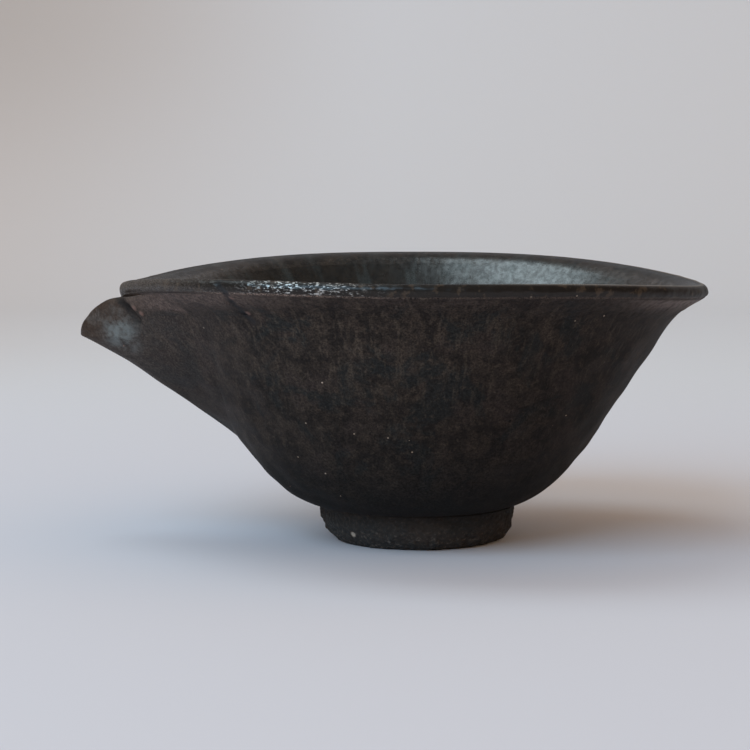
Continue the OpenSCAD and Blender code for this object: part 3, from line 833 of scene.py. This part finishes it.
def lipPaint(name):  # the shared layers, and over them a brown bead with metal flecks, its edges, its pale end, and painted light
    g, look, paint = glazeLook, lipLook, Paint(name)
    layers = glazeLayers(paint)
    at, x, mottle, fine, left = (layers[key] for key in ("at", "x", "mottle", "fine", "left"))
    bead, edge, crest = (paint.mark(key) for key in ("band", "edge", "crest"))
    brown = paint.blend(paint.noise(at, 0.3, 3.0).span(0.56, 0.64), look["brown"], look["rust"])
    # at the right the hollow under the bead is painted paler: painted bounce light
    coveLight = paint.mark("coveLight")**2*x.span(46, 74)*(0.15 + mottle.span(0.35, 0.6)*0.45)
    colour = paint.blend(bead*0.9, paint.blend(coveLight, layers["colour"], look["coveLight"]), brown)
    colour = paint.blend(bead*(1 - x.span(-72, -46))*fine.span(0.4, 0.6)*0.5, colour, look["end"])
    # flecks lie along the bead, and in one stretch they are painted bright: a painted highlight
    along = paint.noise(paint.join(x*0.45, layers["y"]*0.45, layers["z"]*1.3), 1.6, 3.0, 0.75)
    fleck = along.span(0.54, 0.62)*bead*left
    paintedHighlight = x.span(-47, -32)*(1 - x.span(-18, -2))
    colour = paint.blend(fleck, colour, paint.blend(paintedHighlight, look["fleck"], look["paintedHighlight"]))
    # the bead's lower edge is worn pale and, more on the left, painted pale as a painted highlight; it stays dark
    # beside the spout
    wearAndHighlight = x.span(-60, -46)
    colour = paint.blend(edge*(1 - wearAndHighlight)*x.span(-75, -64)*0.5, colour, look["joint"])
    colour = paint.blend(edge*wearAndHighlight*fine.span(0.44, 0.56)*(0.15 + left*0.5), colour, look["wearAndHighlight"])
    # along the crest at the right a pale line is painted: a painted highlight
    colour = paint.blend(crest*0.5*x.span(10, 45), colour, look["crest"])
    colour = addMarks(paint, at, colour)
    bump = paint.bump(layers["height"] + fine*0.5, 0.12, 0.9)
    return paint.finish(Base_Color=colour, Roughness=layers["rough"] - fleck*0.2, Metallic=fleck*0.9, Normal=bump,
                        Specular_IOR_Level=g["specular"], Coat_Weight=paint.mark("gloss")*layers["wet"] + bead*0.15,
                        Coat_Roughness=g["coatRough"], Coat_IOR=g["coatIor"])


footLook = {
    "grey": tone(46, 47, 47), "brown": tone(55, 51, 48), "grain": tone(100, 95, 90), "hollow": tone(32, 30, 30),
    "speck": tone(150, 145, 138), "stone": tone(165, 160, 150), "stoneAt": (-16.5, -18.4, 3.8),
}


def footPaint(name):  # dry clay: clouds, pale grain that is denser below, dark hollows, specks, one white stone and painted shade
    look, paint = footLook, Paint(name)
    at = paint.place()
    x, _, z = paint.split(at)
    grain = paint.noise(at, 1.0, 4.0, 0.7)
    fine = paint.noise(at, 3.2, 2.0)
    cloud = paint.noise(at, 0.12, 3.0)
    colour = paint.blend(cloud.span(0.4, 0.65), look["grey"], look["brown"])
    lowHalf = 1 - z.span(2, 7)
    colour = paint.blend(grain.span(0.52, 0.68)*(0.25 + lowHalf*0.5), colour, look["grain"])
    colour = paint.blend((1 - grain.span(0.3, 0.45))*0.7, colour, look["hollow"])
    spot, _ = paint.specks(at, 0.3, 0.5, 0.1)
    colour = paint.blend(spot*0.4, colour, look["speck"])
    # painted shade: lighter on the left, darker to the right and at the top under the bowl
    paintedShade = (1.1 - x.span(-22, 22)*0.35)*(1 - z.span(4, 9.5)*0.3)
    colour = paint.blend(1.0, colour, paintedShade, "MULTIPLY")
    colour = paint.blend(paint.near(at, look["stoneAt"], 0.5, 1.1), colour, look["stone"])
    bump = paint.bump(grain + fine*0.3, 0.35, 1.0)
    return paint.finish(Base_Color=colour, Roughness=0.62 + fine*0.25, Normal=bump, Specular_IOR_Level=0.2)


glaze, lipGlaze = glazePaint("iron_black_glaze"), lipPaint("iron_black_glaze_on_lip")
footClay, slip = footPaint("dry_dark_clay"), glazePaint("glaze_over_slip")
print("finishes mixed")
makeBowl(glaze)
makeLip(lipGlaze)
makeSpout(glaze)
makeFoot(footClay)
makeSeams(slip, footClay)


# stage: a pale paper sweep, a little darker far back on the left
stageLook = {
    "wide": 5000, "front": -2500, "flat": 800, "radius": 700, "high": 2200, "rows": 60, "paper": tone(199, 208, 221),
    "far": tone(204, 216, 228), "left": tone(195, 198, 202), "corner": tone(177, 179, 181), "farFrom": (100, 500),
    "leftFrom": (-400, 0), "leftBack": (150, 600), "cornerUp": (0, 200),
}


def makeStage(s):
    # the sweep's outline: flat floor, a quarter circle, then upright
    turn = np.linspace(0, np.pi/2, s["rows"])
    y = np.concatenate([[s["front"]], s["flat"] + s["radius"]*np.sin(turn), [s["flat"] + s["radius"]]])
    z = np.concatenate([[0], s["radius"]*(1 - np.cos(turn)), [s["high"]]])
    x = np.array([-s["wide"]/2, s["wide"]/2])
    points = np.stack([np.repeat(x, len(y)), np.tile(y, 2), np.tile(z, 2)], -1)
    n = np.arange(len(y) - 1)
    faces = np.stack([n, n + len(y), n + len(y) + 1, n + 1], -1)
    mesh = bpy.data.meshes.new("paper_sweep")
    mesh.from_pydata((points*mm).tolist(), [], faces.tolist())
    mesh.polygons.foreach_set("use_smooth", np.ones(len(faces), bool))
    sweep = bpy.data.objects.new("paper_sweep", mesh)
    bpy.context.scene.collection.objects.link(sweep)
    paint = Paint("pale_paper")
    x, y, z = paint.split(paint.place())
    colour = paint.blend(y.span(*s["farFrom"]), s["paper"], s["far"])
    leftward = 1 - x.span(*s["leftFrom"])
    colour = paint.blend(leftward*y.span(*s["leftBack"]), colour, s["left"])
    colour = paint.blend(leftward*z.span(*s["cornerUp"]), colour, s["corner"])
    mesh.materials.append(paint.finish(Base_Color=colour, Roughness=0.9, Specular_IOR_Level=0.1))


# light: a large cool window in front on the left, a strip of sky above on the left, and a warm room
windowLight = {"name": "window", "from": (-0.45, -0.65, 0.62), "along": (0.1, 1, 0.05), "away": 2600,
               "wide": 1750, "tall": 1750, "watts": 44, "tint": (0.5, 0.78, 1.0)}
skyLight = {"name": "sky", "from": (-0.43, 0.18, 0.88), "along": (-0.84, 0.2, -0.5), "away": 1500,
            "wide": 1150, "tall": 550, "watts": 6, "tint": (0.76, 0.93, 1.0)}
roomLook = {"tone": (0.74, 0.47, 0.29), "mirrored": (0.08, 0.07, 0.06), "seen": tone(192, 190, 192)}


def makeLamp(look):  # a soft panel that faces the pot, with its long side along a given way
    lamp = bpy.data.lights.new(look["name"], "AREA")
    lamp.shape, lamp.size, lamp.size_y = "RECTANGLE", look["wide"]*mm, look["tall"]*mm
    lamp.energy, lamp.color = look["watts"], look["tint"]
    spot = bpy.data.objects.new(look["name"], lamp)
    way = unit(np.array(look["from"]))
    across = unit(np.cross(way, look["along"]))
    spot.location = way*look["away"]*mm
    spot.rotation_euler = Matrix(np.array([np.cross(across, way), across, way]).T.tolist()).to_euler()
    bpy.context.scene.collection.objects.link(spot)


def makeRoom(look):  # warm light from the room all round, dimmer where the glaze mirrors it, pale where it is seen
    paint = Paint("room", "worlds")
    camera, glossy = paint.node("ShaderNodeLightPath"), paint.node("ShaderNodeLightPath", out=3)
    colour = paint.blend(glossy, paint.blend(camera, look["tone"], look["seen"]), look["mirrored"])
    bpy.context.scene.world = paint.finish("Background", Color=colour)


makeStage(stageLook)
makeLamp(windowLight)
makeLamp(skyLight)
makeRoom(roomLook)
bpy.context.scene.view_settings.view_transform = "Standard"
print("stage and light set")
